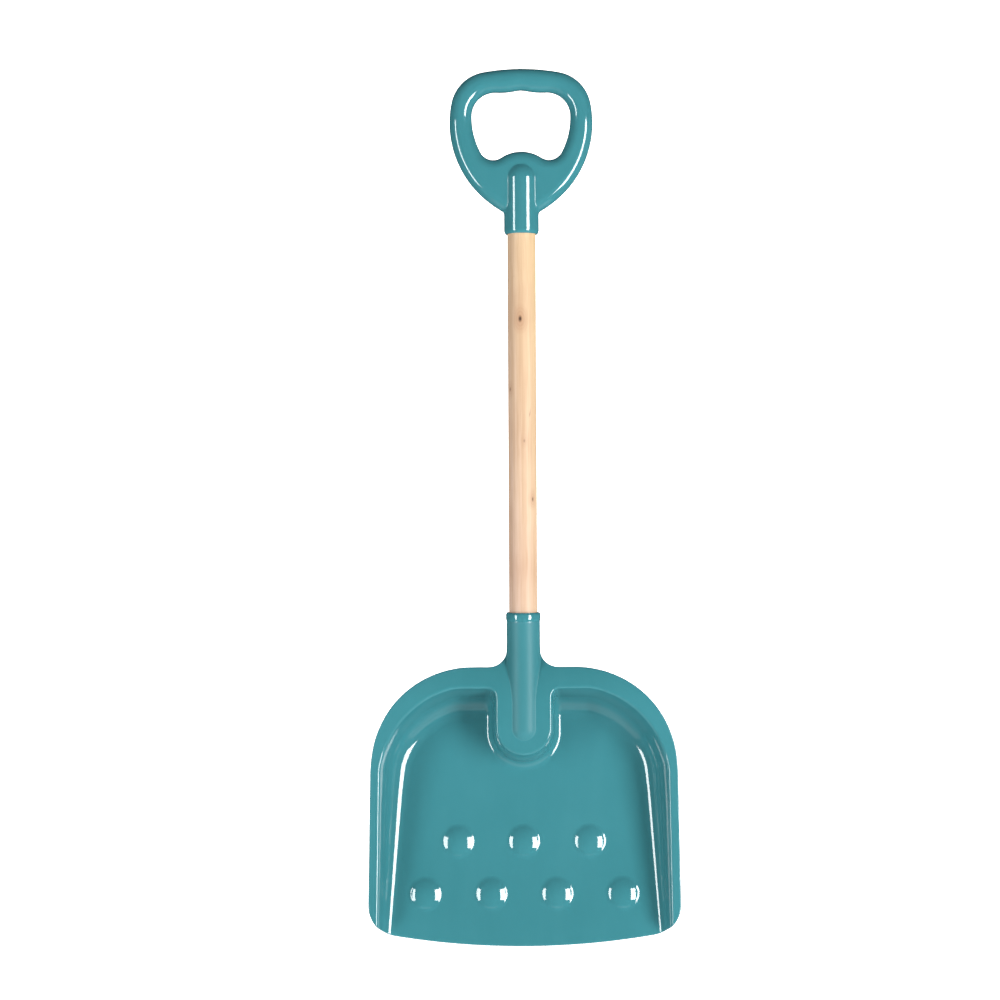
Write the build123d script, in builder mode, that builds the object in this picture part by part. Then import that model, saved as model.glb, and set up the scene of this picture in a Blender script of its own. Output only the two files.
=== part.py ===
"""Child's beach and snow scoop: a moulded pan on a wooden dowel with a moulded D grip.

Millimetres. Z runs up along the dowel, from the pan's lip at Z 0 to the grip. The open side of
the pan faces -Y, and X 0 is the plane of symmetry. The origin is the middle of the whole
footprint, so the dowel's axis stands a little in front of it, at DOWEL_Y.
"""

import math
import os

from build123d import *

# --- walls -------------------------------------------------------------------------------
WALL = 2.2  # moulded wall of the pan
RIB = 1.8  # ribs inside the pan's tongue
RIB_HEIGHTS = (181.0, 196.0)
RIB_DEPTH = 27.0

# --- dowel and sockets -------------------------------------------------------------------
DOWEL_Y = -7.91  # the dowel's axis, in front of the footprint's middle
DOWEL_RADIUS = 11.0
DOWEL_CHAMFER = 1.2
SOCKET_GAP = 0.05  # radial gap between dowel and socket
SOCKET_RADIUS = 13.5  # outside of both sockets
PAN_SOCKET_MOUTH = 260.5
PAN_SOCKET_END = 171.2  # centre of the socket's round closed end
GRIP_SOCKET_MOUTH = 553.0
GRIP_SOCKET_END = 596.2
SOCKET_FLOOR = 4.0  # the bore stops this far short of the round end's centre
END_GAP = 0.5  # the dowel stops this far short of the bore's floor

# --- pan outline, drawn at the rim's front face ------------------------------------------
PAN_TOP = 219.6
PAN_TOP_FLAT = 39.4  # half-length of the straight top edge
SHOULDER_RADIUS, SHOULDER_TURN = 79.0, 82.0
HIP_RADIUS, HIP_TURN = 135.0, 7.0
LIP_HALF_WIDTH = 120.9
LIP_CORNER_RADIUS = 24.0
LIP_RADIUS = 610.0
LIP_CUT = 10.0  # the outline runs down at this angle as it goes back
GUSSET_RADIUS = 14.0

# --- pan section -------------------------------------------------------------------------
RIM_REACH = 10.3  # front face of the rim and of the tongue, in front of the dowel's axis
RIM_Y = DOWEL_Y - RIM_REACH
BRIM_START = 190.0  # above this height the rim curls back
BRIM_RADIUS, BRIM_TURN = 80.0, 33.0
LIP_DEPTH = 15.5  # rim to floor at the lip
FLOOR_TILT = 7.0
RIM_ROUND = 4.0  # rim to wall
FOOT_ROUND = 12.0  # wall to floor
LOFT_DEPTH = 45.0  # depth at which the recess's lower outline is drawn
AIR = 60.0  # how far cutting solids reach past what they cut

# --- recess outline at the rim, and how far it draws in at LOFT_DEPTH ---------------------
RECESS_TOP = 202.9
RECESS_TOP_FLAT = 47.9  # half-length of the recess's straight top edge
RECESS_ARCS = ((37.2, 17.7), (75.7, 61.7), (36.8, 9.6))  # radius, turn
RECESS_DRAFT = 14.0
TONGUE_HALF, TONGUE_SIDE_DRAFT = 21.7, 3.5
TONGUE_END, TONGUE_END_DRAFT = 151.0, 9.5
TONGUE_CORNER, TONGUE_CORNER_GROWTH = 7.0, 8.0

# --- domes on the pan's floor ------------------------------------------------------------
DOME_RADIUS, DOME_HEIGHT = 12.5, 3.6
DOME_PITCH = 51.3
DOME_ROWS = ((81.2, 3), (40.7, 4))  # height on the floor, count

# --- grip --------------------------------------------------------------------------------
GRIP_TOP = 681.4
GRIP_HALF_THICK = 8.7
GRIP_ROUND = 8.2
GRIP_ARCS = ((167.0, -10.2), (30.3, -68.2), (77.5, -62.2), (94.4, -8.9), (4.0, 59.5))  # radius, turn
OPENING_BOTTOM = 617.3
OPENING_ARCS = ((28.5, -33.2), (11.0, 95.4), (58.5, 29.2), (18.1, 91.4), (59.3, -14.5))

# --- screws ------------------------------------------------------------------------------
SCREW_RADIUS, SCREW_LENGTH = 1.5, 12.0
SCREW_HEAD_RADIUS, SCREW_HEAD_HEIGHT = 3.2, 2.0
SCREW_GAP = 0.1
SCREW_SEAT = 12.4  # distance of the head's underside from the dowel's axis
PAN_SCREW_Z = 240.0
GRIP_SCREW_Z = 563.0

FRONT = Plane(origin=(0, DOWEL_Y, 0), x_dir=(1, 0, 0), z_dir=(0, -1, 0))  # local y is Z
ACROSS = Plane(origin=(0, DOWEL_Y, 0))
DOWEL_AXIS = Axis((0, DOWEL_Y, 0), (0, 0, 1))


def floor_plane(below=0.0):
    """Plane of the pan's floor, or of a surface below it, with its normal towards the open side."""
    tilt = math.radians(FLOOR_TILT)
    lip_y = RIM_Y + LIP_DEPTH + below / math.cos(tilt)
    return Plane(origin=(0, lip_y, 0), x_dir=(1, 0, 0), z_dir=(0, -math.cos(tilt), math.sin(tilt)))


def outline_curve(start, arcs):
    """Chain of tangent arcs that leaves start towards +X; a positive turn is to the left."""
    point = start
    heading = (1, 0)
    for radius, turn in arcs:
        arc = JernArc(point, heading, radius, turn)
        point = arc @ 1
        heading = arc % 1
    return point, heading


def recess_face(depth, grow):
    """The pan's recess as seen along Y, at a depth below the rim, grown outwards by grow."""
    share = depth / LOFT_DEPTH
    half = TONGUE_HALF + TONGUE_SIDE_DRAFT * share - grow
    end = TONGUE_END - TONGUE_END_DRAFT * share + grow
    corner = TONGUE_CORNER + TONGUE_CORNER_GROWTH * share + grow
    inset = RECESS_DRAFT * share - grow
    top = RECESS_TOP - inset
    with BuildSketch(FRONT.offset(RIM_REACH - depth)) as sketch:
        with BuildLine():
            tongue_end = JernArc((0, end), (1, 0), half, 90)
            tongue_side = Line(tongue_end @ 1, (half, top - corner))
            root = JernArc(tongue_side @ 1, (0, 1), corner, -90)
            Line(root @ 1, (RECESS_TOP_FLAT, top))
            arcs = [(radius - inset, -turn) for radius, turn in RECESS_ARCS]
            hip, heading = outline_curve((RECESS_TOP_FLAT, top), arcs)
            low = hip + heading * ((hip.Y + AIR) / -heading.Y)
            Polyline(hip, low, (0, low.Y), (0, end))
        make_face()
        mirror(about=Plane.YZ)
    return sketch.sketch


def recess_air(grow, foot_round, start):
    """Tapered air space of the recess from the depth start to the tilted floor, its foot rounded."""
    shallow = recess_face(start, grow).face()
    deep = recess_face(LOFT_DEPTH, grow).face()
    bottom = floor_plane(grow)
    with BuildPart() as air:
        loft([shallow, deep], ruled=True)
        split(bisect_by=bottom, keep=Keep.TOP)
        floor = air.faces().sort_by(Axis(bottom.origin, bottom.z_dir))[0]
        foot = floor.edges().filter_by(lambda edge: edge.center().Z > -AIR / 2)
        fillet(foot, foot_round)
    return air.part


def rim_front(height):
    """Y of the front face of the rim and tongue at a height."""
    past_start = max(height - BRIM_START, 0.0)
    return RIM_Y + BRIM_RADIUS - math.sqrt(BRIM_RADIUS**2 - past_start**2)


def rim_plate():
    """Plate of the rim and tongue: upright below, curled back at the top."""
    with BuildPart() as plate:
        with BuildSketch(Plane.YZ):
            with BuildLine():
                front = JernArc((RIM_Y, BRIM_START), (0, 1), BRIM_RADIUS, -BRIM_TURN)
                back = JernArc((RIM_Y + WALL, BRIM_START), (0, 1), BRIM_RADIUS - WALL, -BRIM_TURN)
                Line(front @ 1, back @ 1)
                Polyline(front @ 0, (RIM_Y, -AIR), (RIM_Y + WALL, -AIR), back @ 0)
            make_face()
        extrude(amount=LIP_HALF_WIDTH + AIR, both=True)
    return plate.part


def pan_prism():
    """Everything inside the pan's outline: flat top, round shoulders, bowed lip, gusset at the socket."""
    cut = math.radians(LIP_CUT)
    back_depth = LIP_DEPTH + WALL / math.cos(math.radians(FLOOR_TILT))
    lip_middle = back_depth * math.tan(cut)
    lip_turn = math.degrees(math.asin(LIP_HALF_WIDTH / LIP_RADIUS))
    gusset_top = PAN_TOP + GUSSET_RADIUS
    with BuildPart() as prism:
        with BuildSketch(FRONT.offset(RIM_REACH)):
            with BuildLine():
                top = Line((SOCKET_RADIUS + GUSSET_RADIUS, PAN_TOP), (PAN_TOP_FLAT, PAN_TOP))
                shoulder = JernArc(top @ 1, top % 1, SHOULDER_RADIUS, -SHOULDER_TURN)
                hip = JernArc(shoulder @ 1, shoulder % 1, HIP_RADIUS, -HIP_TURN)
                lip = CenterArc((0, lip_middle + LIP_RADIUS), LIP_RADIUS, -90, lip_turn)
                Line(hip @ 1, lip @ 1)
                gusset = JernArc(top @ 0, (-1, 0), GUSSET_RADIUS, -90)
                Polyline(lip @ 0, (0, gusset_top), gusset @ 1)
            outline = make_face()
            corner = outline.vertices().group_by(Axis.X)[-1].sort_by(Axis.Y)[0]
            fillet(corner, LIP_CORNER_RADIUS)
            mirror(about=Plane.YZ)
        extrude(amount=AIR, dir=(0, math.cos(cut), -math.sin(cut)), both=True)
    return prism.part


def tongue_rib(height):
    """Rib behind the tongue, from the socket to both side walls of the tongue."""
    top = TONGUE_HALF - WALL - RIM_ROUND / 2
    upper = TONGUE_HALF - WALL / 2
    lower = upper + TONGUE_SIDE_DRAFT * RIB_DEPTH / LOFT_DEPTH
    with BuildPart() as rib:
        with BuildSketch(Plane.XY.offset(height - RIB / 2)):
            with BuildLine():
                Polyline(
                    (0, RIM_Y + WALL / 2),
                    (top, RIM_Y + WALL / 2),
                    (upper, RIM_Y + RIM_ROUND),
                    (lower, RIM_Y + RIB_DEPTH),
                    (0, RIM_Y + RIB_DEPTH),
                    close=True,
                )
            make_face()
            mirror(about=Plane.YZ)
        extrude(amount=RIB)
    return rib.part


def dome_cap(grow):
    """Shallow dome that stands on the pan's floor, or with a negative grow its hollow behind."""
    sphere_radius = (DOME_RADIUS**2 + DOME_HEIGHT**2) / (2 * DOME_HEIGHT)
    centre = DOME_HEIGHT - sphere_radius
    base = min(grow, 0.0)
    radius = sphere_radius + grow
    with BuildPart() as cap:
        with Locations((0, 0, centre)):
            Sphere(radius)
        split(bisect_by=Plane.XY.offset(base - WALL / 2), keep=Keep.TOP)
    return cap.part


def dome_places():
    """Centres of the domes in the floor's own plane."""
    places = []
    for height, count in DOME_ROWS:
        for step in range(count):
            places.append(((step - (count - 1) / 2) * DOME_PITCH, height))
    return places


def socket_blank(profile, end, way):
    """Socket turned from (radius, height) corners, its ball-shaped end up for way 1, down for -1."""
    with BuildPart() as blank:
        with BuildSketch(FRONT):
            with BuildLine():
                JernArc((SOCKET_RADIUS, end), (0, way), SOCKET_RADIUS, 90 * way)
                Polyline((0, end + way * SOCKET_RADIUS), (0, profile[-1][1]), profile[-1])
                Polyline((SOCKET_RADIUS, end), *profile)
            make_face()
        revolve(axis=DOWEL_AXIS)
    return blank.part


def screw(height):
    """Pan-head screw that enters a socket from the back at a height on the dowel."""
    seat = Plane(origin=(0, DOWEL_Y + SCREW_SEAT, height), x_dir=(1, 0, 0), z_dir=(0, 1, 0))
    with BuildPart() as fixing:
        with BuildSketch(seat):
            Circle(SCREW_HEAD_RADIUS)
        extrude(amount=SCREW_HEAD_HEIGHT)
        fillet(fixing.edges().group_by(Axis.Y)[-1], SCREW_HEAD_HEIGHT * 0.6)
        with BuildSketch(seat):
            Circle(SCREW_RADIUS)
        extrude(amount=-SCREW_LENGTH)
        chamfer(fixing.edges().group_by(Axis.Y)[0], SCREW_RADIUS * 0.6)
        with BuildSketch(seat.offset(SCREW_HEAD_HEIGHT)):
            Rectangle(3.4, 0.9)
            Rectangle(0.9, 3.4)
        extrude(amount=-1.2, mode=Mode.SUBTRACT)
    return fixing.part


def screw_path(height):
    """Hole for a screw, with a seat for its head."""
    seat = Plane(origin=(0, DOWEL_Y + SCREW_SEAT, height), x_dir=(1, 0, 0), z_dir=(0, 1, 0))
    with BuildPart() as path:
        with BuildSketch(seat):
            Circle(SCREW_HEAD_RADIUS + 3 * SCREW_GAP)
        extrude(amount=2 * SCREW_HEAD_HEIGHT)
        with BuildSketch(seat):
            Circle(SCREW_RADIUS + SCREW_GAP)
        extrude(amount=-(SCREW_LENGTH + END_GAP))
    return path.part


def bore(low, high):
    """Hole that takes the dowel."""
    with BuildPart() as hole:
        with BuildSketch(ACROSS.offset(low)):
            Circle(DOWEL_RADIUS + SOCKET_GAP)
        extrude(amount=high - low)
    return hole.part


# === scoop ===============================================================================
recess = recess_air(0.0, FOOT_ROUND, -AIR / 10)
mould_back = recess_air(WALL, FOOT_ROUND + WALL, WALL / 2)
pan_socket_profile = [
    (SOCKET_RADIUS, PAN_SOCKET_MOUTH - 26),
    (SOCKET_RADIUS - 0.5, PAN_SOCKET_MOUTH - 22),
    (SOCKET_RADIUS - 0.5, PAN_SOCKET_MOUTH - 6.5),
    (SOCKET_RADIUS + 0.2, PAN_SOCKET_MOUTH - 5.5),
    (SOCKET_RADIUS + 0.4, PAN_SOCKET_MOUTH - 3),
    (SOCKET_RADIUS + 0.2, PAN_SOCKET_MOUTH - 1),
    (SOCKET_RADIUS - 0.7, PAN_SOCKET_MOUTH),
]
with BuildPart() as scoop:
    add(rim_plate())
    add(mould_back)
    add(pan_prism(), mode=Mode.INTERSECT)
    add(recess, mode=Mode.SUBTRACT)
    cut_edges = scoop.edges(Select.LAST).filter_by(GeomType.LINE, reverse=True)
    above_lip = cut_edges.filter_by_position(Axis.Z, 2 * LIP_CORNER_RADIUS, PAN_TOP)
    rim = above_lip.filter_by(lambda edge: edge.center().Y < rim_front(edge.center().Z) + 0.1)
    fillet(rim, RIM_ROUND)
    for x, height in dome_places():
        place = floor_plane() * Location((x, height, 0))
        add(place * dome_cap(0.0))
    for x, height in dome_places():
        place = floor_plane() * Location((x, height, 0))
        add(place * dome_cap(-WALL), mode=Mode.SUBTRACT)
    add(socket_blank(pan_socket_profile, PAN_SOCKET_END, -1))
    for height in RIB_HEIGHTS:
        add(tongue_rib(height))
    add(bore(PAN_SOCKET_END + SOCKET_FLOOR, PAN_SOCKET_MOUTH + 1), mode=Mode.SUBTRACT)
    add(screw_path(PAN_SCREW_Z), mode=Mode.SUBTRACT)

# === grip ================================================================================
grip_socket_profile = [
    (SOCKET_RADIUS, GRIP_SOCKET_MOUTH + 2),
    (SOCKET_RADIUS - 1.4, GRIP_SOCKET_MOUTH),
]
with BuildPart() as grip:
    with BuildSketch(FRONT):
        with BuildLine():
            end, heading = outline_curve((0, GRIP_TOP), GRIP_ARCS)
            low = GRIP_SOCKET_MOUTH + 5
            Polyline(end, (end.X, low), (0, low), (0, GRIP_TOP))
        make_face()
        with BuildLine():
            end, heading = outline_curve((0, OPENING_BOTTOM), OPENING_ARCS)
            wave_turn = 180 - sum(turn for _, turn in OPENING_ARCS)
            wave = JernArc(end, heading, end.X / math.sin(math.radians(wave_turn)), wave_turn)
            Line(wave @ 1, (0, OPENING_BOTTOM))
        make_face(mode=Mode.SUBTRACT)
        mirror(about=Plane.YZ)
    extrude(amount=GRIP_HALF_THICK, both=True)
    flats = grip.faces().filter_by(Plane.XZ).sort_by(Axis.Y)
    outlines = flats[0].edges() + flats[-1].edges()
    fillet(outlines.filter_by(lambda edge: edge.center().Z > GRIP_SOCKET_MOUTH + 6), GRIP_ROUND)
    add(socket_blank(grip_socket_profile, GRIP_SOCKET_END, 1))
    add(bore(GRIP_SOCKET_MOUTH - 1, GRIP_SOCKET_END - SOCKET_FLOOR), mode=Mode.SUBTRACT)
    add(screw_path(GRIP_SCREW_Z), mode=Mode.SUBTRACT)

# === shaft ===============================================================================
with BuildPart() as shaft:
    foot = PAN_SOCKET_END + SOCKET_FLOOR + END_GAP
    head = GRIP_SOCKET_END - SOCKET_FLOOR - END_GAP
    with BuildSketch(ACROSS.offset(foot)):
        Circle(DOWEL_RADIUS)
    extrude(amount=head - foot)
    chamfer(shaft.edges().filter_by(GeomType.CIRCLE), DOWEL_CHAMFER)
    for height in (PAN_SCREW_Z, GRIP_SCREW_Z):
        add(screw_path(height), mode=Mode.SUBTRACT)

# === screws ==============================================================================
with BuildPart() as scoop_screw:
    add(screw(PAN_SCREW_Z))

with BuildPart() as grip_screw:
    add(screw(GRIP_SCREW_Z))

# === one file for each piece =============================================================
os.makedirs("parts", exist_ok=True)
scoop.part.label = "scoop"
export_step(scoop.part, "parts/scoop.step")
shaft.part.label = "shaft"
export_step(shaft.part, "parts/shaft.step")
grip.part.label = "grip"
export_step(grip.part, "parts/grip.step")
scoop_screw.part.label = "scoop_screw"
export_step(scoop_screw.part, "parts/scoop_screw.step")
grip_screw.part.label = "grip_screw"
export_step(grip_screw.part, "parts/grip_screw.step")
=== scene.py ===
"""Looks of the child's beach and snow scoop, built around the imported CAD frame.

Blender objects are in metres with +Z up. The mouldings and screws are described as distance
fields in millimetres: a field is negative inside the piece, positive outside, and takes x across,
y from the dowel's axis (towards the back) and z up from the pan's lip.
"""

import math

import bmesh
import bpy
import numpy as np
from mathutils import Matrix, Vector


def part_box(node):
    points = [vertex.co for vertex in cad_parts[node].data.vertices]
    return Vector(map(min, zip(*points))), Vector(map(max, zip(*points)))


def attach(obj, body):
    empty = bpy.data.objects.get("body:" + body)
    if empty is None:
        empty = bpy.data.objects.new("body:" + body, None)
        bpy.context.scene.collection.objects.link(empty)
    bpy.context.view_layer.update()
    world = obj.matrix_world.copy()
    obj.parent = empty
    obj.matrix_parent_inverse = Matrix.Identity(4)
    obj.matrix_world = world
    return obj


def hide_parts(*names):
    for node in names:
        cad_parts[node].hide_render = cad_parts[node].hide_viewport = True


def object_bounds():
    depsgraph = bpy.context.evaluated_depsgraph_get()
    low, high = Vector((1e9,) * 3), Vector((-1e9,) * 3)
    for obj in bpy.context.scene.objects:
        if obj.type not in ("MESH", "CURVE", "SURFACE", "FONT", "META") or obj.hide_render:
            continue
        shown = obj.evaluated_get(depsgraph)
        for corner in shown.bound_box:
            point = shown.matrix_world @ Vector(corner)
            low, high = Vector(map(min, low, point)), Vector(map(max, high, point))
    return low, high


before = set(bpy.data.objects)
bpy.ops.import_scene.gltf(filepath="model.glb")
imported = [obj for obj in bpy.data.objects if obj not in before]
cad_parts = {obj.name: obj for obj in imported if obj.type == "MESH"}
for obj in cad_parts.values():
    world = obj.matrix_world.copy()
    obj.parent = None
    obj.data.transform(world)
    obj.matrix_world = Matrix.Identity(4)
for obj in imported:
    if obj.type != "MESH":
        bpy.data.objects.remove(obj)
cad_low, cad_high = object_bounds()

MM = 0.001

# --- places taken from the frame, in metres ----------------------------------------------
shaft_low, shaft_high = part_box("shaft")
grip_low, grip_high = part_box("grip")
scoop_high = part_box("scoop")[1]
AXIS = (shaft_low + shaft_high) / 2


def to_mm(point):
    """A frame point as (x, y from the dowel's axis, z) in millimetres."""
    return (point.x / MM, (point.y - AXIS.y) / MM, (point.z - cad_low.z) / MM)


# --- sockets, in millimetres -------------------------------------------------------------
DOWEL_RADIUS = (shaft_high.x - shaft_low.x) / 2 / MM
BORE_GAP = 0.05
BORE_RADIUS = DOWEL_RADIUS + BORE_GAP
END_GAP = 0.5  # between the dowel's end and the bore's floor
SOCKET_FLOOR = 4.0  # from the bore's floor to the centre of the socket's round end
SOCKET_RADIUS = 13.5
SOCKET_NECK = 13.0  # pan socket below its bead
TUBE_FILLET = 0.25
TUBE_END_ROUND = 0.6
NECK_FADE = (222.0, 238.0)  # heights between which the pan's tube thins to its neck
BEAD_HEIGHT, BEAD_ROUND, BEAD_FOOT_FILLET = 7.0, 2.2, 0.3
PAN_MOUTH = to_mm(scoop_high)[2]
PAN_BORE_END = to_mm(shaft_low)[2] - END_GAP
PAN_BALL = PAN_BORE_END - SOCKET_FLOOR  # centre of the socket's round closed end
GRIP_MOUTH = to_mm(grip_low)[2]
GRIP_BORE_END = to_mm(shaft_high)[2] + END_GAP
GRIP_BALL = GRIP_BORE_END + SOCKET_FLOOR
BORE_ROUND = 0.4
MOUTH_CHAMFER, MOUTH_SLOPE = 1.4, 0.7  # the grip's mouth narrows outside by this, at this slope
MOUTH_CONE_SHARE = 0.82  # distance to the mouth's cone as a share of the radial distance
MOUTH_CHAMFER_ROUND, MOUTH_ROUND = 0.8, 0.4

# --- pan outline, at the rim's front face ------------------------------------------------
PAN_TOP = 219.6
PAN_TOP_FLAT = 39.3
SHOULDER = (79.0, -82.0)  # radius, and turn in degrees, here and in the arcs below
HIP = (135.0, -7.0)
LIP_CORNER_RADIUS = 24.0
LIP_RADIUS = 610.0
LIP_RISE = 3.1  # lip's middle at the rim face, above the lip's back edge
LIP_CUT = math.tan(math.radians(10.0))  # the outline drops by this share of the depth
GUSSET_RADIUS, GUSSET_TOP = 14.0, 231.0
EDGE_ROUND = 0.8

# --- pan section -------------------------------------------------------------------------
WALL = 2.2
RIM_Y = -10.3  # front face of the rim and of the tongue
BRIM_START, BRIM_RADIUS = 190.0, 80.0  # the rim curls back above this height
LIP_DEPTH = 15.5
FLOOR_TILT = math.radians(7.0)
RIM_ROUND, RIM_BACK_ROUND = 1.9, 1.0
FOOT_ROUND_LIP, FOOT_ROUND_TOP = 6.5, 16.0
TONGUE_FOOT_ROUND = 6.5

# --- recess ------------------------------------------------------------------------------
RECESS_TOP, RECESS_TOP_FLAT = 202.9, 47.9
RECESS_ARCS = ((37.2, -17.7), (75.7, -61.7), (36.8, -9.6))
SIDE_DRAFT, TOP_DRAFT = 12.5 / 45.0, 17.3 / 45.0  # walls draw in by this share of the depth
DRAFT_CHANGE = (110.0, 200.0)  # heights between which the draft grows
TONGUE_HALF, TONGUE_SIDE_DRAFT = 21.7, 3.5 / 45.0
TONGUE_END, TONGUE_END_DRAFT = 151.0, 14.5 / 45.0  # height at the rim's face, draft
RIB_HEIGHTS, RIB_HALF, RIB_DEPTH, RIB_FILLET = (181.0, 196.0), 0.9, 27.0, 0.6

# --- domes -------------------------------------------------------------------------------
DOME_RADIUS, DOME_HEIGHT, DOME_EDGE = 12.5, 3.6, 0.8
DOME_PITCH = 51.3
DOME_ROWS = ((81.2, (0.0, 1.0)), (40.7, (0.5, 1.5)))  # height on the floor, places in pitches

# --- grip --------------------------------------------------------------------------------
GRIP_TOP = to_mm(grip_high)[2]
GRIP_HALF_THICK, GRIP_ROUND = 8.7, 8.2
GRIP_ARCS = ((167.0, -10.2), (30.3, -68.2), (77.5, -62.2), (94.4, -8.9), (4.0, 59.5))
OPENING_BOTTOM = 617.3
OPENING_ARCS = ((28.5, -33.2), (11.0, 95.4), (58.5, 29.2), (18.1, 91.4), (59.3, -14.5))
WEB_FILLET = 0.4

# --- screws ------------------------------------------------------------------------------
PAN_SCREW_Z = to_mm(sum(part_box("scoop_screw"), Vector()) / 2)[2]
GRIP_SCREW_Z = to_mm(sum(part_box("grip_screw"), Vector()) / 2)[2]
SCREW_SEAT = 12.4  # underside of the head, behind the dowel's axis
SCREW_HEAD_RADIUS, SCREW_HEAD_HEIGHT, SCREW_HEAD_ROUND = 3.2, 2.0, 0.9
CROSS_HALF_WIDTH, CROSS_REACH, CROSS_FLOOR, CROSS_ROUND = 0.4, 1.7, 0.8, 0.15
SCREW_RADIUS, SCREW_LENGTH = 1.5, 12.0
TIP_CONE_SHARE = 0.7  # distance to the pointed tip as a share of the distance along the screw
THREAD_PITCH, THREAD_DEPTH = 1.1, 0.35
SHANK_ROUND, NECK_FILLET = 0.2, 0.2
SEAT_GAP, HOLE_GAP, SCREW_HOLE_ROUND = 0.3, 0.1, 0.3

# --- dowel -------------------------------------------------------------------------------
DOWEL_CHAMFER = 1.2
CHAMFER_PROFILE = ((0.0, 1.0), (0.25, 0.4), (1.0, 0.0))  # rise and cut, in chamfers
DOWEL_UNEVEN, KNOT_DENT, KNOT_STRETCH = 0.012, 0.12, 0.6
SHORT_WAVE, LONG_WAVE = 0.031, 0.013  # radians per millimetre of length
DOWEL_ROWS, DOWEL_SIDES = 160, 96
KNOTS = (  # turn round the dowel, height, size, darkness
    (-1.70, 487.0, 1.5, 1.0),
    (-0.80, 348.0, 1.1, 0.7),
    (-1.45, 393.0, 0.8, 0.4),
    (-2.58, 433.0, 1.0, 0.6),
    (0.60, 415.0, 1.4, 0.9),
    (2.10, 530.0, 1.1, 0.7),
)

# --- mesh sizes --------------------------------------------------------------------------
SCOOP_STEP, GRIP_STEP, SCREW_STEP = 0.85, 0.75, 0.16
GRID_MARGIN = 2.5  # steps of grid outside a piece's box
SKIN = 0.04  # the visual mesh lies this far inside the CAD surface
SLOPE_REACH = 0.02
SETTLE_ROUNDS = 5
LEAST_STEEPNESS, LONGEST_MOVE = 0.2, 0.5  # the latter in steps
TINY = 1e-9

# --- camera, in metres -------------------------------------------------------------------
VIEW_DISTANCE = 1.61
VIEW_WIDTH = 0.775  # width of the picture at the dowel
VIEW_SIDE = -0.0176
VIEW_HEIGHT = 0.3475  # above the lip
VIEW_ROLL = -0.27  # degrees
SENSOR = 36.0  # millimetres

# --- colours (sRGB) ----------------------------------------------------------------------
TEAL_DEEP, TEAL_PALE, TEAL_FLOW = "306E75", "36757D", "3F7C83"
WOOD_PINK, WOOD_YELLOW, WOOD_TAN = "C0A497", "C2A77D", "A7845F"
WOOD_FLECK, WOOD_STAIN, WOOD_KNOT = "80604A", "94684A", "452B1D"
STEEL_DARK, STEEL_LIGHT = "9A9C9E", "C9CBCC"
STEEL_METALLIC = 0.4
WHITE, BLACK = (1.0, 1.0, 1.0, 1.0), (0.0, 0.0, 0.0, 1.0)

# --- studio, in metres and watts ---------------------------------------------------------
SWEEP_HALF, SWEEP_FRONT, SWEEP_BACK, SWEEP_TOP = 3.0, -3.0, 2.5, 3.0
SWEEP_RADIUS, SWEEP_STEPS = 1.0, 16
CARD_HALF, CARD_NEAR, CARD_FAR, CARD_HEIGHT = 1.5, -0.95, 0.5, -1.0
PAPER_GLOW, ROOM_GLOW, CARD_GLOW = 0.7, 0.07, 0.6  # as the object sees them, where white is 1
PAPER_ROUGHNESS = 0.9
FILL = ("fill_back", 172, 3.0, 1.2, 2.5, 2.0, 95)  # name and values as softbox() takes them
SOFTBOXES = (
    ("softbox_right", 44, 4.0, -0.02, 1.35, 2.85, 230),
    ("softbox_left", -51, 4.0, -0.02, 0.85, 2.85, 104),
)

# --- finishes ----------------------------------------------------------------------------
PLASTIC_IOR, GLOSS_SHEEN = 1.49, 0.75
SATIN_ROUGHNESS, SATIN_SHEEN = 0.45, 0.2


# === distance fields =====================================================================
def overlap(first, second, radius=0.0):
    """Overlap of two solids, the edge between them rounded."""
    past_edge = np.hypot(np.maximum(first + radius, 0), np.maximum(second + radius, 0))
    return past_edge + np.minimum(np.maximum(first, second), -radius)


def union(first, second, radius=0.0):
    """Union of two solids, the corner between them filled with a fillet."""
    return -overlap(-first, -second, radius)


def carve(solid, tool, radius=0.0):
    """A solid less a tool, the edge between them rounded."""
    return overlap(solid, -tool, radius)


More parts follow.
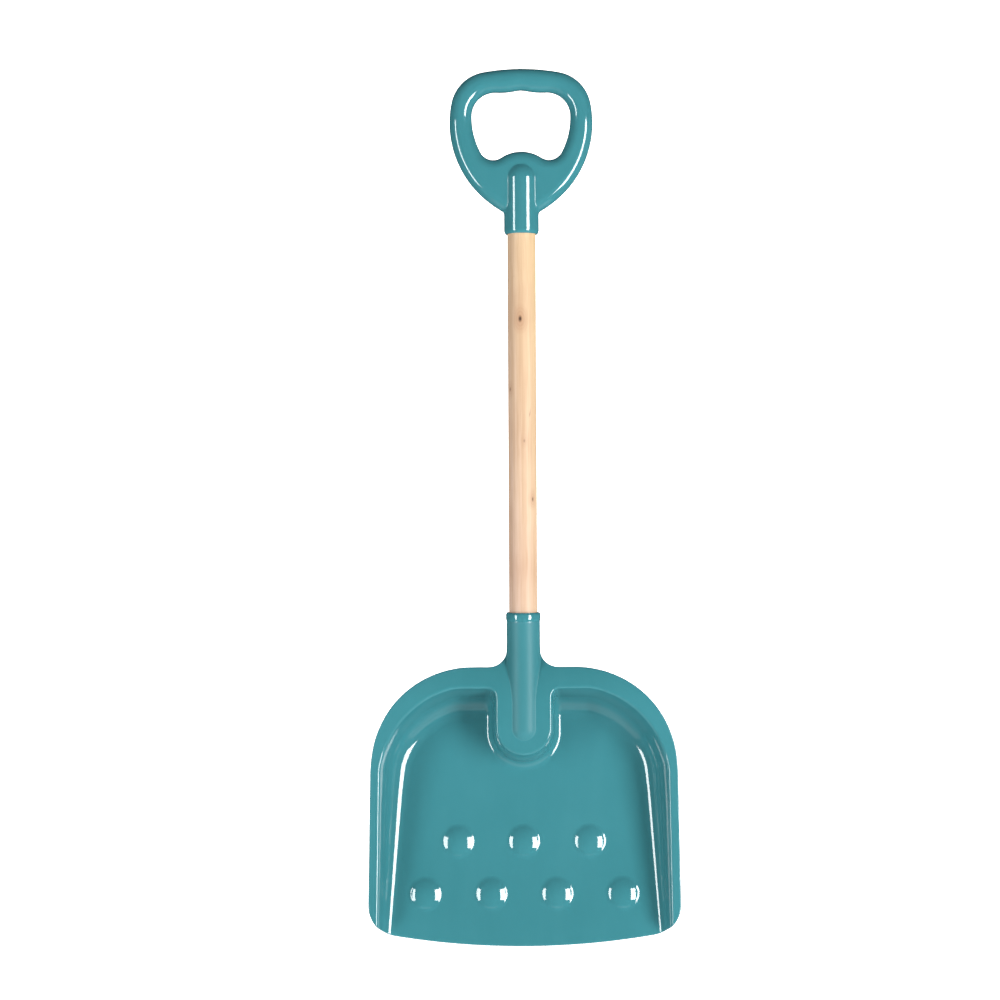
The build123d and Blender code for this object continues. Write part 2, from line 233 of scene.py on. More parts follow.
class Outline:
    """Chain of tangent lines and arcs in the x-z plane that starts towards +x."""

    def __init__(self, x, z):
        self.point = np.array((x, z), float)
        self.heading = 0.0
        self.parts = []

    def line(self, length):
        way = np.array((math.cos(self.heading), math.sin(self.heading)))
        self.parts.append((self.point, way, length))
        self.point = self.point + way * length
        return self

    def arc(self, radius, turn):
        """Arc with a turn in degrees, positive to the left."""
        side = math.copysign(1.0, turn)
        normal = np.array((-math.sin(self.heading), math.cos(self.heading))) * side
        centre = self.point + normal * radius
        sweep = math.radians(turn)
        middle = self.heading - side * math.pi / 2 + sweep / 2
        self.parts.append((centre, radius, middle, abs(sweep) / 2, side))
        self.heading += sweep
        last = self.heading - side * math.pi / 2
        self.point = centre + radius * np.array((math.cos(last), math.sin(last)))
        return self

    def distance(self, x, z):
        """Signed distance to the chain, negative on the right of its direction."""
        nearest = None
        for part in self.parts:
            side, gap = self.line_gap(part, x, z) if len(part) == 3 else self.arc_gap(part, x, z)
            if nearest is None:
                nearest, sign = gap, side
            else:
                closer = gap < nearest
                nearest = np.where(closer, gap, nearest)
                sign = np.where(closer, side, sign)
        return np.copysign(nearest, sign)

    @staticmethod
    def line_gap(part, x, z):
        start, way, length = part
        along = np.clip((x - start[0]) * way[0] + (z - start[1]) * way[1], 0, length)
        side = way[0] * (z - start[1]) - way[1] * (x - start[0])
        return side, np.hypot(x - start[0] - way[0] * along, z - start[1] - way[1] * along)

    @staticmethod
    def arc_gap(part, x, z):
        centre, radius, middle, half, turn_side = part
        off_x, off_z = x - centre[0], z - centre[1]
        swing = (np.arctan2(off_z, off_x) - middle + math.pi) % (2 * math.pi) - math.pi
        angle = middle + np.clip(swing, -half, half)
        foot_x, foot_z = np.cos(angle), np.sin(angle)
        side = turn_side * (radius - off_x * foot_x - off_z * foot_z)
        return side, np.hypot(off_x - radius * foot_x, off_z - radius * foot_z)


def pan_outline():
    """Flat top, round shoulders, straight sides, rounded corners and a bowed lip."""
    outline = Outline(0, PAN_TOP).line(PAN_TOP_FLAT).arc(*SHOULDER).arc(*HIP)
    normal = np.array((-math.sin(outline.heading), math.cos(outline.heading)))
    lean = math.atan2(normal[1], normal[0])
    lip_centre = np.array((0, LIP_RISE + LIP_RADIUS))
    reach = LIP_RADIUS - LIP_CORNER_RADIUS
    inset = normal @ (outline.point - lip_centre) - LIP_CORNER_RADIUS
    lip_half_turn = lean + math.asin(inset / reach)
    corner = lip_centre + reach * np.array((math.sin(lip_half_turn), -math.cos(lip_half_turn)))
    way = np.array((math.cos(outline.heading), math.sin(outline.heading)))
    outline.line(way @ (corner - outline.point))
    corner_turn = 180 + math.degrees(outline.heading) - math.degrees(lip_half_turn)
    return outline.arc(LIP_CORNER_RADIUS, -corner_turn).arc(LIP_RADIUS, -math.degrees(lip_half_turn))


def recess_outline():
    """Recess at the rim: flat top and round shoulders, with sides that run out past the lip."""
    outline = Outline(0, RECESS_TOP).line(RECESS_TOP_FLAT)
    for radius, turn in RECESS_ARCS:
        outline.arc(radius, turn)
    return outline.line(PAN_TOP)


def grip_outline():
    """Outer edge of the D grip, down to where it meets the socket's side."""
    outline = Outline(0, GRIP_TOP)
    for radius, turn in GRIP_ARCS:
        outline.arc(radius, turn)
    return outline


def opening_outline():
    """Hand opening, with a low wave in its upper edge."""
    outline = Outline(0, OPENING_BOTTOM)
    for radius, turn in OPENING_ARCS:
        outline.arc(radius, turn)
    wave = math.pi - outline.heading
    return outline.arc(outline.point[0] / math.sin(wave), math.degrees(wave))


PAN_OUTLINE, RECESS_OUTLINE = pan_outline(), recess_outline()
GRIP_OUTLINE, OPENING_OUTLINE = grip_outline(), opening_outline()


def smooth_step(value, low, high):
    """0 below low, 1 above high, a smooth rise in between."""
    share = np.clip((value - low) / (high - low), 0, 1)
    return share * share * (3 - 2 * share)


def floor_with_domes(x, y, z):
    """Negative in front of the pan's floor and its domes."""
    lean, upright = math.sin(FLOOR_TILT), math.cos(FLOOR_TILT)
    lip_y = RIM_Y + LIP_DEPTH
    floor = (y - lip_y) * upright - z * lean
    sphere_radius = (DOME_RADIUS**2 + DOME_HEIGHT**2) / (2 * DOME_HEIGHT)
    sunk = sphere_radius - DOME_HEIGHT
    for height, places in DOME_ROWS:
        centre_y = lip_y + height * lean + sunk * upright
        centre_z = height * upright - sunk * lean
        for place in places:
            radial = np.hypot(x - place * DOME_PITCH, z - centre_z)
            floor = carve(floor, np.hypot(radial, y - centre_y) - sphere_radius, DOME_EDGE)
    return floor


def tongue_distance(x, depth, z):
    """Distance outside the tongue, which widens with depth."""
    half = TONGUE_HALF + TONGUE_SIDE_DRAFT * depth
    centre = TONGUE_END - TONGUE_END_DRAFT * depth + half
    return np.hypot(x, np.minimum(z - centre, 0)) - half


def screw_hole(x, y, z, height):
    """Seat and hole for a screw that comes in from the back."""
    radial = np.hypot(x, z - height)
    seat = np.maximum(radial - SCREW_HEAD_RADIUS - SEAT_GAP, SCREW_SEAT - y)
    return union(seat, np.maximum(radial - SCREW_RADIUS - HOLE_GAP, -y))


def recess_air(x, y, z, tongue):
    """Air in the recess: in front of the floor, inside the drafted wall and outside the tongue."""
    draft = SIDE_DRAFT + (TOP_DRAFT - SIDE_DRAFT) * smooth_step(z, *DRAFT_CHANGE)
    wall = (RECESS_OUTLINE.distance(x, z) + draft * (y - RIM_Y)) / np.hypot(1, draft)
    foot = FOOT_ROUND_LIP + (FOOT_ROUND_TOP - FOOT_ROUND_LIP) * np.clip(z / RECESS_TOP, 0, 1)
    return overlap(overlap(floor_with_domes(x, y, z), wall, foot), -tongue, TONGUE_FOOT_ROUND)


def pan_shell(x, y, z, tongue, curl):
    """Even wall behind the recess and the curled rim, cut to the pan's outline."""
    air = recess_air(x, y, z, tongue)
    front = overlap(curl, -air, RIM_ROUND)
    back = union(air - WALL, -curl - WALL, RIM_BACK_ROUND)
    neck = np.maximum(x - SOCKET_NECK, PAN_BALL - z)
    outline = union(PAN_OUTLINE.distance(x, z + (y - RIM_Y) * LIP_CUT), neck, GUSSET_RADIUS)
    return overlap(np.maximum(front, back), np.maximum(outline, z - GUSSET_TOP), EDGE_ROUND)


def pan_socket(x, y, z):
    """Socket tube with a round closed end and a bead at its mouth."""
    radius = SOCKET_RADIUS - (SOCKET_RADIUS - SOCKET_NECK) * smooth_step(z, *NECK_FADE)
    radial = np.hypot(x, y)
    tube = np.hypot(radial, np.minimum(z - PAN_BALL, 0)) - radius
    tube = overlap(tube, z - PAN_MOUTH, TUBE_END_ROUND)
    bead_middle = PAN_MOUTH - BEAD_HEIGHT / 2
    bead = overlap(radial - SOCKET_RADIUS, np.abs(z - bead_middle) - BEAD_HEIGHT / 2, BEAD_ROUND)
    foot_fillet = np.where(z < bead_middle, BEAD_FOOT_FILLET, 0.0)
    return union(tube, bead, foot_fillet)


def scoop_field(x, y, z):
    """Pan with its brim, tongue, domes, ribs and socket."""
    x = np.abs(x)
    depth = y - RIM_Y
    tongue = tongue_distance(x, depth, z)
    curl = np.hypot(RIM_Y + BRIM_RADIUS - y, np.maximum(z - BRIM_START, 0)) - BRIM_RADIUS
    solid = union(pan_shell(x, y, z, tongue, curl), pan_socket(x, y, z), TUBE_FILLET)
    for height in RIB_HEIGHTS:
        rib = np.maximum(np.abs(z - height) - RIB_HALF, np.maximum(tongue, curl) + WALL / 2)
        solid = union(solid, np.maximum(rib, depth - RIB_DEPTH), RIB_FILLET)
    bore = np.maximum(np.hypot(x, y) - BORE_RADIUS, PAN_BORE_END - z)
    solid = carve(solid, bore, BORE_ROUND)
    return carve(solid, screw_hole(x, y, z, PAN_SCREW_Z), SCREW_HOLE_ROUND)


def grip_field(x, y, z):
    """D-shaped grip, round in section, with its socket."""
    x = np.abs(x)
    plate = np.maximum(GRIP_OUTLINE.distance(x, z), OPENING_OUTLINE.distance(x, z))
    plate = overlap(plate, np.abs(y) - GRIP_HALF_THICK, GRIP_ROUND)
    plate = np.maximum(plate, GRIP_OUTLINE.point[1] - z)
    radial = np.hypot(x, y)
    tube = np.hypot(radial, np.maximum(z - GRIP_BALL, 0)) - SOCKET_RADIUS
    cone = radial - SOCKET_RADIUS + MOUTH_CHAMFER - MOUTH_SLOPE * (z - GRIP_MOUTH)
    tube = overlap(tube, cone * MOUTH_CONE_SHARE, MOUTH_CHAMFER_ROUND)
    tube = overlap(tube, GRIP_MOUTH - z, MOUTH_ROUND)
    solid = union(plate, tube, WEB_FILLET)
    solid = carve(solid, np.maximum(radial - BORE_RADIUS, z - GRIP_BORE_END), BORE_ROUND)
    return carve(solid, screw_hole(x, y, z, GRIP_SCREW_Z), SCREW_HOLE_ROUND)


def screw_field(x, y, z):
    """Pan-head screw round the y axis, with a cross recess and a turned thread; z from its axis."""
    radial = np.hypot(x, z)
    along = y - SCREW_SEAT
    half_height = SCREW_HEAD_HEIGHT / 2
    head = np.abs(along - half_height) - half_height
    head = overlap(radial - SCREW_HEAD_RADIUS, head, SCREW_HEAD_ROUND)
    across = np.minimum(
        np.maximum(np.abs(x) - CROSS_HALF_WIDTH, np.abs(z) - CROSS_REACH),
        np.maximum(np.abs(z) - CROSS_HALF_WIDTH, np.abs(x) - CROSS_REACH),
    )
    head = carve(head, np.maximum(across, CROSS_FLOOR - along), CROSS_ROUND)
    turns = (along / THREAD_PITCH - np.arctan2(z, x) / (2 * math.pi)) % 1.0
    thread = THREAD_DEPTH * np.abs(2 * turns - 1)
    tip = (radial - (SCREW_LENGTH + along)) * TIP_CONE_SHARE
    shank = overlap(radial - SCREW_RADIUS + thread, np.maximum(along, tip), SHANK_ROUND)
    return union(head, shank, NECK_FILLET)


# === meshes from fields ==================================================================
def slope(field, points):
    """Gradient of a field at points."""
    columns = []
    for axis in range(3):
        shift = np.zeros(3)
        shift[axis] = SLOPE_REACH
        rise = field(*(points + shift).T) - field(*(points - shift).T)
        columns.append(rise / (2 * SLOPE_REACH))
    return np.stack(columns, axis=1)


def settle(field, points, step):
    """Moves points to SKIN inside the field's zero; returns them with the surface's normals."""
    for _ in range(SETTLE_ROUNDS):
        gradient = slope(field, points)
        steepness = np.maximum((gradient**2).sum(axis=1), LEAST_STEEPNESS)
        move = gradient * ((field(*points.T) + SKIN) / steepness)[:, None]
        length = np.linalg.norm(move, axis=1, keepdims=True)
        points = points - move * np.minimum(1, LONGEST_MOVE * step / np.maximum(length, TINY))
    gradient = slope(field, points)
    return points, gradient / np.maximum(np.linalg.norm(gradient, axis=1, keepdims=True), TINY)


def cell_points(values, cells):
    """Mean crossing of the surface in each cell, in cell units."""
    corners = np.array([(i, j, k) for i in (0, 1) for j in (0, 1) for k in (0, 1)])
    total = np.zeros((len(cells), 3))
    hits = np.zeros((len(cells), 1))
    for first in corners:
        for axis in range(3):
            if first[axis]:
                continue
            second = first.copy()
            second[axis] = 1
            start = values[tuple((cells + first).T)]
            end = values[tuple((cells + second).T)]
            crosses = (start < 0) != (end < 0)
            share = np.where(crosses, start / np.where(crosses, start - end, 1), 0)
            point = first + share[:, None] * (second - first)
            total += np.where(crosses[:, None], point, 0)
            hits += crosses[:, None]
    return cells + total / hits


def surface_quads(inside, index):
    """One quad round every grid edge that crosses the surface, wound outwards."""
    quads = []
    for axis in range(3):
        lower = np.take(inside, range(inside.shape[axis] - 1), axis)
        upper = np.take(inside, range(1, inside.shape[axis]), axis)
        edges = np.argwhere(lower != upper)
        outward = lower[tuple(edges.T)]
        side, up = np.eye(3, dtype=int)[(axis + 1) % 3], np.eye(3, dtype=int)[(axis + 2) % 3]
        ring = [edges - side - up, edges - up, edges, edges - side]
        quad = np.stack([index[tuple(cell.T)] for cell in ring], axis=1)
        quads.append(np.where(outward[:, None], quad, quad[:, ::-1]))
    return np.concatenate(quads)


def surface_mesh(name, field, box, step):
    """Closed smooth mesh of the surface that lies SKIN inside a field's zero."""
    margin = GRID_MARGIN * step
    low, high = np.array(box[0]) - margin, np.array(box[1]) + margin
    axes = [np.arange(low[axis], high[axis] + step, step) for axis in range(3)]
    values = np.asarray(field(*np.meshgrid(*axes, indexing="ij", sparse=True))) + SKIN
    inside = values < 0
    size = np.array(values.shape) - 1
    count = np.zeros(size, np.int8)
    for i, j, k in np.ndindex(2, 2, 2):
        count += inside[i : i + size[0], j : j + size[1], k : k + size[2]]
    cells = np.argwhere((count > 0) & (count < 8))
    index = np.full(size, -1)
    index[tuple(cells.T)] = np.arange(len(cells))
    quads = surface_quads(inside, index)
    points, normals = settle(field, low + step * cell_points(values, cells), step)
    origin = np.array((0, AXIS.y / MM, cad_low.z / MM))
    return quad_mesh(name, (points + origin) * MM, quads, normals)


def quad_mesh(name, points, quads, normals):
    """Smooth-shaded mesh of quads with given vertex normals."""
    mesh = bpy.data.meshes.new(name)
    mesh.vertices.add(len(points))
    mesh.vertices.foreach_set("co", points.astype(np.float32).ravel())
    mesh.loops.add(quads.size)
    mesh.loops.foreach_set("vertex_index", quads.astype(np.int32).ravel())
    mesh.polygons.add(len(quads))
    mesh.polygons.foreach_set("loop_start", np.arange(0, quads.size, 4, dtype=np.int32))
    mesh.update(calc_edges=True)
    mesh.polygons.foreach_set("use_smooth", np.ones(len(quads), bool))
    mesh.validate()
    if normals is not None:
        mesh.normals_split_custom_set_from_vertices(normals.tolist())
    return mesh


def piece(mesh, node, material):
    """Puts a mesh into the scene as the look of a CAD node."""
    mesh.materials.append(material)
    shape = bpy.data.objects.new(mesh.name, mesh)
    bpy.context.scene.collection.objects.link(shape)
    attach(shape, "root")
    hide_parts(node)


def dowel_rows():
    """Heights and radii of the turned profile, chamfered at both ends."""
    low, high = to_mm(shaft_low)[2], to_mm(shaft_high)[2]
    ends = [(rise * DOWEL_CHAMFER, cut * DOWEL_CHAMFER) for rise, cut in CHAMFER_PROFILE]
    rows = [(low + rise, DOWEL_RADIUS - cut) for rise, cut in ends]
    body = np.linspace(low + 2 * DOWEL_CHAMFER, high - 2 * DOWEL_CHAMFER, DOWEL_ROWS)
    rows += [(height, DOWEL_RADIUS) for height in body]
    return rows + [(high - rise, DOWEL_RADIUS - cut) for rise, cut in reversed(ends)]


def uneven(radius, height, turn):
    """The profile's radius, slightly uneven along the length and dented at the knots."""
    wave = 2 + np.sin(SHORT_WAVE * height + 2 * turn) + np.sin(LONG_WAVE * height - 3 * turn)
    radius = radius - DOWEL_UNEVEN * wave
    for knot_turn, knot_height, size, _ in KNOTS:
        swing = (turn - knot_turn + math.pi) % (2 * math.pi) - math.pi
        away = np.hypot(swing * DOWEL_RADIUS, (height - knot_height) * KNOT_STRETCH)
        radius = radius - KNOT_DENT * np.exp(-((away / size) ** 2))
    return radius


def dowel_mesh():
    """Closed mesh of the dowel, with flat ends."""
    rows = np.array(dowel_rows())
    height = rows[:, :1]
    turn = np.linspace(0, 2 * math.pi, DOWEL_SIDES, endpoint=False)[None, :]
    radius = uneven(rows[:, 1:], height, turn)
    x, y = radius * np.cos(turn), radius * np.sin(turn) + AXIS.y / MM
    points = np.stack([x, y, np.broadcast_to(height + cad_low.z / MM, x.shape)], axis=-1)
    points = points.reshape(-1, 3) * MM
    here = np.arange(points.shape[0]).reshape(x.shape)
    after = np.roll(here, -1, axis=1)
    quads = np.stack([here[:-1], after[:-1], after[1:], here[1:]], axis=-1).reshape(-1, 4)
    mesh = quad_mesh("dowel", points, quads, None)
    close = bmesh.new()
    close.from_mesh(mesh)
    bmesh.ops.holes_fill(close, edges=[edge for edge in close.edges if edge.is_boundary], sides=0)
    close.to_mesh(mesh)
    close.free()
    return mesh


# === materials ===========================================================================
def linear(code):
    """Linear RGBA of an sRGB hex code."""
    values = []
    for start in (0, 2, 4):
        value = int(code[start : start + 2], 16) / 255
        values.append(value / 12.92 if value <= 0.04045 else ((value + 0.055) / 1.055) ** 2.4)
    return (*values, 1.0)


class Nodes:
    """Small helper that adds and links the nodes of one material."""

    def __init__(self, name):
        self.material = bpy.data.materials.new(name)
        self.material.use_nodes = True
        self.tree = self.material.node_tree
        self.shader = self.tree.nodes["Principled BSDF"]

    def add(self, kind, inputs=None, **settings):
        node = self.tree.nodes.new("ShaderNode" + kind)
        for key, value in settings.items():
            setattr(node, key, value)
        for key, value in (inputs or {}).items():
            self.feed(value, node, key)
        return node

    def feed(self, value, node, key):
        """Links a socket to an input, or sets the input's value."""
        if isinstance(value, bpy.types.NodeSocket):
            self.tree.links.new(value, node.inputs[key])
        else:
            node.inputs[key].default_value = value

    def out(self, kind, inputs=None, output=0, **settings):
        return self.add(kind, inputs, **settings).outputs[output]

    def math(self, operation, first, second=0.0):
        node = self.add("Math", operation=operation)
        self.feed(first, node, 0)
        self.feed(second, node, 1)
        return node.outputs[0]

    def mix(self, share, first, second):
        """Colour between first and second."""
        node = self.add("Mix", data_type="RGBA")
        self.feed(share, node, "Factor")
        self.feed(first, node, 6)
        self.feed(second, node, 7)
        return node.outputs[2]

    def stretch(self, value, low, high, to_low=0.0, to_high=1.0):
        """Value carried from the range low to high into the range to_low to to_high."""
        span = {"From Min": low, "From Max": high, "To Min": to_low, "To Max": to_high}
        return self.out("MapRange", {**span, "Value": value})


def satin_zone(n, where):
    """Share of the satin finish: 1 on the pan's socket below its bead, 0 on everything else."""
    ball = (0, AXIS.y, cad_low.z + PAN_BALL * MM)
    off = n.out("VectorMath", {0: where, 1: ball}, operation="SUBTRACT")
    x, y, z = n.add("SeparateXYZ", {"Vector": off}).outputs
    below_ball = n.math("MINIMUM", z, 0.0)
    spoke = n.out("CombineXYZ", {"X": x, "Y": y, "Z": below_ball})
    radial = n.out("VectorMath", {0: spoke}, output=1, operation="LENGTH")
    outside = n.stretch(radial, (SOCKET_RADIUS + 0.6) * MM, (SOCKET_RADIUS + 0.3) * MM)
    inside = n.stretch(radial, (SOCKET_NECK - 0.9) * MM, (SOCKET_NECK - 0.4) * MM)
    bead_foot = PAN_MOUTH - BEAD_HEIGHT - PAN_BALL
    below_bead = n.stretch(z, (bead_foot + 1) * MM, (bead_foot - 1) * MM)
    return n.math("MULTIPLY", n.math("MULTIPLY", outside, inside), below_bead)


def plastic(name):
    """Glossy moulded plastic: cloudy pigment, flow marks, fine orange peel and hairline scuffs."""
    n = Nodes(name)
    where = n.out("TexCoord", output="Object")
    cloud = n.out("TexNoise", {"Vector": where, "Scale": 7.0, "Detail": 3.0, "Roughness": 0.5})
    along = n.add("Mapping", {"Vector": where, "Scale": (60.0, 60.0, 9.0)}).outputs[0]
    flow = n.out("TexNoise", {"Vector": along, "Scale": 1.0, "Detail": 4.0, "Roughness": 0.55})
    peel = n.out("TexNoise", {"Vector": where, "Scale": 700.0, "Detail": 2.0, "Roughness": 0.4})
    base = n.mix(n.stretch(cloud, 0.3, 0.7), linear(TEAL_DEEP), linear(TEAL_PALE))
    base = n.mix(n.stretch(flow, 0.45, 0.75, 0.0, 0.12), base, linear(TEAL_FLOW))
    n.feed(base, n.shader, "Base Color")
    thin = {"Scale": (40.0, 40.0, 1500.0), "Rotation": (0.3, 0.5, 0.2)}
    scratch = n.out("Mapping", {"Vector": where, **thin})
    scuff = n.out("TexNoise", {"Vector": scratch, "Scale": 1.0, "Detail": 2.0})
    gloss = n.math("ADD", n.stretch(flow, 0.3, 0.7, 0.05, 0.09), n.stretch(scuff, 0.62, 0.8, 0.0, 0.05))
    satin = satin_zone(n, where)
    n.feed(n.math("MAXIMUM", gloss, n.math("MULTIPLY", satin, SATIN_ROUGHNESS)), n.shader, "Roughness")
    n.feed(n.stretch(satin, 0.0, 1.0, GLOSS_SHEEN, SATIN_SHEEN), n.shader, "Specular IOR Level")
    height = n.math("ADD", peel, n.math("MULTIPLY", scuff, 0.3))
    bump = n.out("Bump", {"Height": height, "Strength": 0.035, "Distance": 0.0002})
    n.feed(bump, n.shader, "Normal")
    n.feed(PLASTIC_IOR, n.shader, "IOR")
    return n.material


def knot(n, where, fibre, turn, height, size, darkness):
    """Shares of a knot's core and of the stained grain that flows round it."""
    radius = DOWEL_RADIUS * MM
    place = (radius * math.cos(turn), AXIS.y + radius * math.sin(turn), height * MM)
    off = n.out("VectorMath", {0: where, 1: place}, operation="SUBTRACT")
    long = n.add("Mapping", {"Vector": off, "Scale": (1.0, 1.0, 0.55)}).outputs[0]
    away = n.out("VectorMath", {0: long}, output=1, operation="LENGTH")
    ragged = n.math("ADD", away, n.math("MULTIPLY", fibre, 0.7 * size * MM))
    core = n.stretch(ragged, size * MM * 0.7, size * MM * 1.4, darkness, 0.0)
    ring = n.math("SINE", n.math("MULTIPLY", ragged, 6.0 / (size * MM)))
    halo = n.stretch(ragged, size * MM, size * MM * 5.0, 0.6 * darkness, 0.0)
    return core, n.math("MULTIPLY", halo, n.stretch(ring, -1.0, 1.0, 0.65, 1.0))


def wood_base(n, where, bent, fibre):
    """Colour of the clear wood: pinkish to yellowish, with rings, fibres, stains and flecks."""
    broad = n.add("Mapping", {"Vector": bent, "Scale": (190.0, 190.0, 4.0)}).outputs[0]
    ring = n.out("TexNoise", {"Vector": broad, "Scale": 1.0, "Detail": 3.0, "Roughness": 0.5})
    patch = n.out("TexNoise", {"Vector": where, "Scale": 12.0, "Detail": 2.0})
    place = n.add("SeparateXYZ", {"Vector": where}).outputs
    across = n.stretch(place[0], shaft_low.x, shaft_high.x, 0.0, 0.4)
    along = n.stretch(place[2], shaft_low.z, shaft_high.z, 0.0, 0.6)
    base = n.mix(n.math("ADD", across, along), linear(WOOD_PINK), linear(WOOD_YELLOW))
    base = n.mix(n.stretch(ring, 0.44, 0.64, 0.0, 0.35), base, linear(WOOD_TAN))
    base = n.mix(n.stretch(fibre, 0.42, 0.72, 0.0, 0.4), base, linear(WOOD_TAN))
    base = n.mix(n.stretch(patch, 0.5, 0.7, 0.0, 0.3), base, linear(WOOD_STAIN))
    dark = n.add("Mapping", {"Vector": where, "Scale": (260.0, 260.0, 60.0)}).outputs[0]
    speck = n.out("TexNoise", {"Vector": dark, "Scale": 1.0, "Detail": 2.0})
    return n.mix(n.stretch(speck, 0.72, 0.78, 0.0, 0.6), base, linear(WOOD_FLECK))


def wood(name):
    """Pale sanded dowel: long wavy grain, soft colour changes, knots and small dark flecks."""
    n = Nodes(name)
    where = n.out("TexCoord", output="Object")
    wave = n.out("TexNoise", {"Vector": where, "Scale": 22.0, "Detail": 2.0})
    bend = n.out("VectorMath", {0: wave, "Scale": 0.0035}, operation="SCALE")
    bent = n.out("VectorMath", {0: where, 1: bend}, operation="ADD")
    fine = n.add("Mapping", {"Vector": bent, "Scale": (900.0, 900.0, 14.0)}).outputs[0]
    fibre = n.out("TexNoise", {"Vector": fine, "Scale": 1.0, "Detail": 4.0, "Roughness": 0.6})
    base = wood_base(n, where, bent, fibre)
    for place in KNOTS:
        core, halo = knot(n, where, fibre, *place)
        base = n.mix(halo, base, linear(WOOD_STAIN))
        base = n.mix(core, base, linear(WOOD_KNOT))
    n.feed(base, n.shader, "Base Color")
    n.feed(n.stretch(fibre, 0.3, 0.7, 0.5, 0.68), n.shader, "Roughness")
    bump = n.out("Bump", {"Height": fibre, "Strength": 0.25, "Distance": 0.0002})
    n.feed(bump, n.shader, "Normal")
    return n.material


def steel(name):
    """Zinc-plated screw steel."""
    n = Nodes(name)
    where = n.out("TexCoord", output="Object")
    grain = n.out("TexNoise", {"Vector": where, "Scale": 1500.0, "Detail": 3.0})
    n.feed(n.mix(grain, linear(STEEL_DARK), linear(STEEL_LIGHT)), n.shader, "Base Color")
    n.feed(n.stretch(grain, 0.3, 0.7, 0.35, 0.5), n.shader, "Roughness")
    bump = n.out("Bump", {"Height": grain, "Strength": 0.15, "Distance": 0.0001})
    n.feed(bump, n.shader, "Normal")
    n.feed(STEEL_METALLIC, n.shader, "Metallic")
    return n.material


# === studio ==============================================================================
def glow(tree, lighting):
    """Strength that the camera sees as full white, and that lights the object by less."""
    ray = tree.nodes.new("ShaderNodeLightPath")
    strength = tree.nodes.new("ShaderNodeMapRange")
    strength.inputs["To Min"].default_value = lighting
    strength.inputs["To Max"].default_value = 1.0
    tree.links.new(ray.outputs["Is Camera Ray"], strength.inputs["Value"])
    return strength.outputs["Result"]


def studio():
    """Pale sweep that is floor and backdrop in one."""
    profile = [(SWEEP_FRONT, 0.0)]
    for step in range(SWEEP_STEPS + 1):
        turn = math.radians(90 * step / SWEEP_STEPS)
        back = SWEEP_BACK - SWEEP_RADIUS + SWEEP_RADIUS * math.sin(turn)
        profile.append((back, SWEEP_RADIUS * (1 - math.cos(turn))))
    profile.append((SWEEP_BACK, SWEEP_TOP))
    verts = [(side * SWEEP_HALF, y, z) for y, z in profile for side in (-1, 1)]
    faces = [(2 * k, 2 * k + 1, 2 * k + 3, 2 * k + 2) for k in range(len(profile) - 1)]
    mesh = bpy.data.meshes.new("sweep")
    mesh.from_pydata(verts, [], faces)
    for face in mesh.polygons:
        face.use_smooth = True
    sweep = bpy.data.objects.new("sweep", mesh)
    bpy.context.scene.collection.objects.link(sweep)
    n = Nodes("paper")
    n.feed(WHITE, n.shader, "Base Color")
    n.feed(WHITE, n.shader, "Emission Color")
    n.feed(glow(n.tree, PAPER_GLOW), n.shader, "Emission Strength")
    n.feed(PAPER_ROUGHNESS, n.shader, "Roughness")
    mesh.materials.append(n.material)
    sweep.location.z = cad_low.z
    sweep.visible_glossy = False
    sweep.visible_shadow = False


def reflector():
    """Glowing card far below the pan, seen only in reflections, as on the recess's upper wall."""
    corners = ((-1, CARD_NEAR), (1, CARD_NEAR), (1, CARD_FAR), (-1, CARD_FAR))
    verts = [(side * CARD_HALF, y, CARD_HEIGHT) for side, y in corners]
    mesh = bpy.data.meshes.new("reflector")
    mesh.from_pydata(verts, [], [(0, 1, 2, 3)])
    n = Nodes("reflector_card")
    n.feed(BLACK, n.shader, "Base Color")
    n.feed(WHITE, n.shader, "Emission Color")
    n.feed(CARD_GLOW, n.shader, "Emission Strength")
    mesh.materials.append(n.material)
    card = bpy.data.objects.new("reflector", mesh)
    bpy.context.scene.collection.objects.link(card)
    card.visible_camera = False
    card.visible_diffuse = False
    card.visible_shadow = False


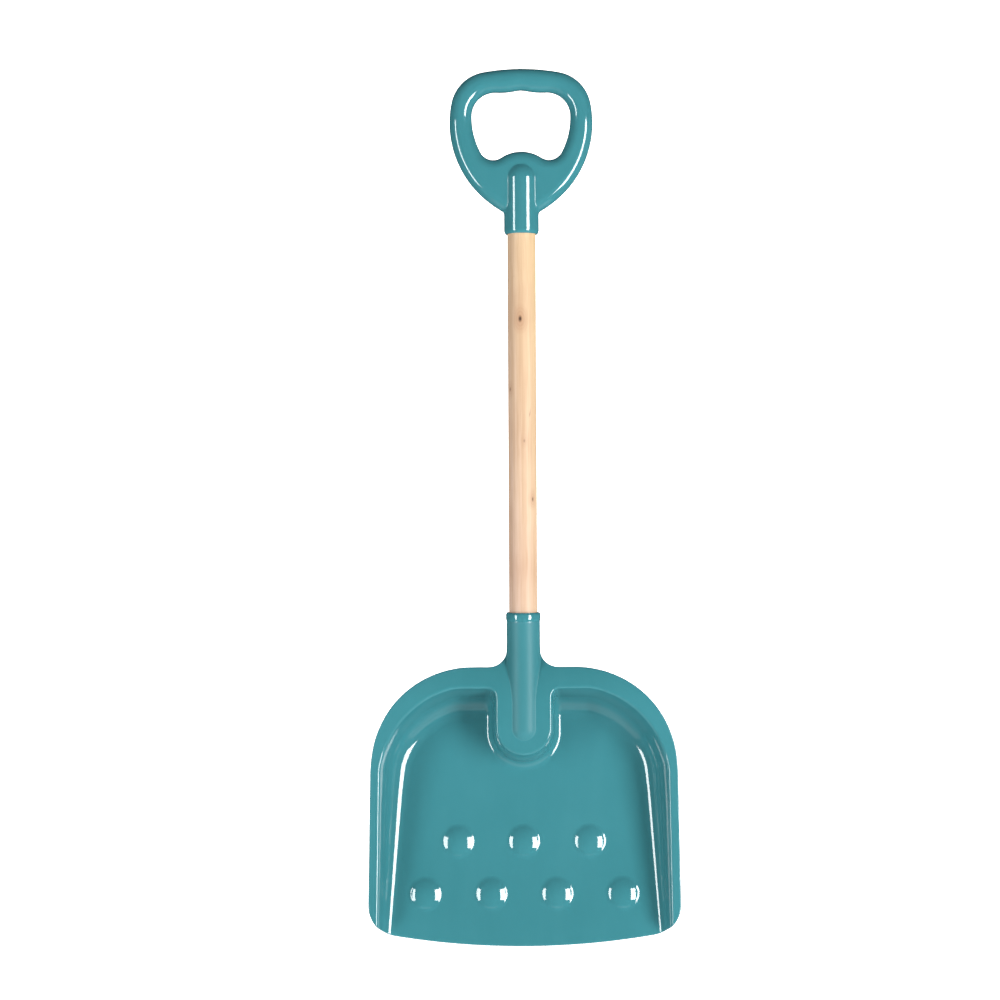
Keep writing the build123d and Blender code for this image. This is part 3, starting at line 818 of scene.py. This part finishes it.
def softbox(name, azimuth, distance, height, width, tall, power):
    """Softbox aimed at the floor below the dowel; azimuth is to the right of the camera."""
    lamp = bpy.data.lights.new(name, "AREA")
    lamp.shape = "RECTANGLE"
    lamp.size = width
    lamp.size_y = tall
    lamp.energy = power
    box = bpy.data.objects.new(name, lamp)
    turn = math.radians(azimuth)
    box.location = (distance * math.sin(turn), AXIS.y - distance * math.cos(turn), height)
    direction = Vector((0, AXIS.y, 0)) - box.location
    box.rotation_euler = direction.to_track_quat("-Z", "Y").to_euler()
    bpy.context.scene.collection.objects.link(box)
    return box


def light():
    """Wide softbox at the right, narrow one at the left and a fill behind, in a dim grey room."""
    softbox(*FILL).visible_glossy = False
    for values in SOFTBOXES:
        softbox(*values)
    world = bpy.data.worlds.new("room")
    world.use_nodes = True
    tree = world.node_tree
    tree.links.new(glow(tree, ROOM_GLOW), tree.nodes["Background"].inputs["Strength"])
    tree.nodes["Background"].inputs["Color"].default_value = WHITE
    bpy.context.scene.world = world
    bpy.context.scene.view_settings.view_transform = "Standard"


def camera():
    """Camera at about the tool's middle height, looking along +Y and rolled slightly."""
    data = bpy.data.cameras.new("camera")
    data.sensor_width = SENSOR
    data.lens = SENSOR * VIEW_DISTANCE / VIEW_WIDTH
    view = bpy.data.objects.new("camera", data)
    spot = Matrix.Translation((VIEW_SIDE, AXIS.y - VIEW_DISTANCE, cad_low.z + VIEW_HEIGHT))
    level = Matrix.Rotation(math.radians(90), 4, "X")
    roll = Matrix.Rotation(math.radians(VIEW_ROLL), 4, "Z")
    view.matrix_world = spot @ level @ roll
    bpy.context.scene.collection.objects.link(view)
    bpy.context.scene.camera = view


def field_box(node):
    """A node's CAD box in the fields' own millimetres."""
    low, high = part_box(node)
    return to_mm(low), to_mm(high)


def screw_mesh(node, height):
    """The screw of a socket, with its axis at a height."""

    def field(x, y, z):
        return screw_field(x, y, z - height)

    return surface_mesh(node + "_turned", field, field_box(node), SCREW_STEP)


# === scene ===============================================================================
teal = plastic("teal_plastic")
metal = steel("screw_steel")
pan = surface_mesh("pan", scoop_field, field_box("scoop"), SCOOP_STEP)
piece(pan, "scoop", teal)
d_grip = surface_mesh("d_grip", grip_field, field_box("grip"), GRIP_STEP)
piece(d_grip, "grip", teal)
piece(dowel_mesh(), "shaft", wood("dowel_wood"))
for node, height in (("scoop_screw", PAN_SCREW_Z), ("grip_screw", GRIP_SCREW_Z)):
    piece(screw_mesh(node, height), node, metal)
studio()
reflector()
light()
camera()
